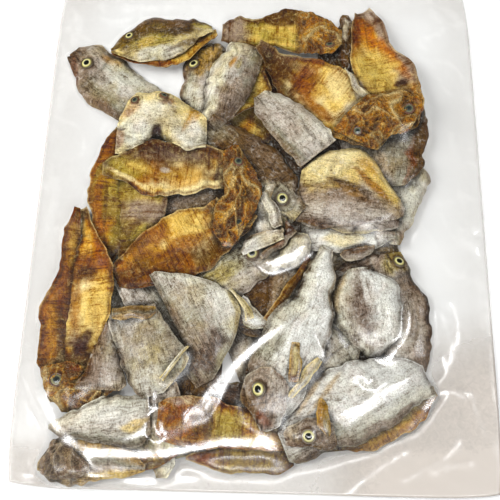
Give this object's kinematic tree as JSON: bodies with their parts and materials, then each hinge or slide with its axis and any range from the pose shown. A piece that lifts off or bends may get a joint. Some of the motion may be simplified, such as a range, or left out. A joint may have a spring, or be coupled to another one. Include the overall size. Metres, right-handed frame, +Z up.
{
  "type": "bag of dried rabbitfish",
  "caption": "Clear sealed bag lying flat, packed with split and dried rabbitfish under loose film.",
  "frame": {"origin": "centre of the bag's flat underside", "axes": "+X across the bag, +Y along the bag towards its upper seal, +Z up out of the surface it lies on"},
  "size_m": [0.304, 0.355, 0.0235],
  "materials": {
    "film_and_fish": "clear glossy film over dried fish"
  },
  "bodies": {
    "root": {"bag": "film_and_fish"}
  },
  "joints": []
}
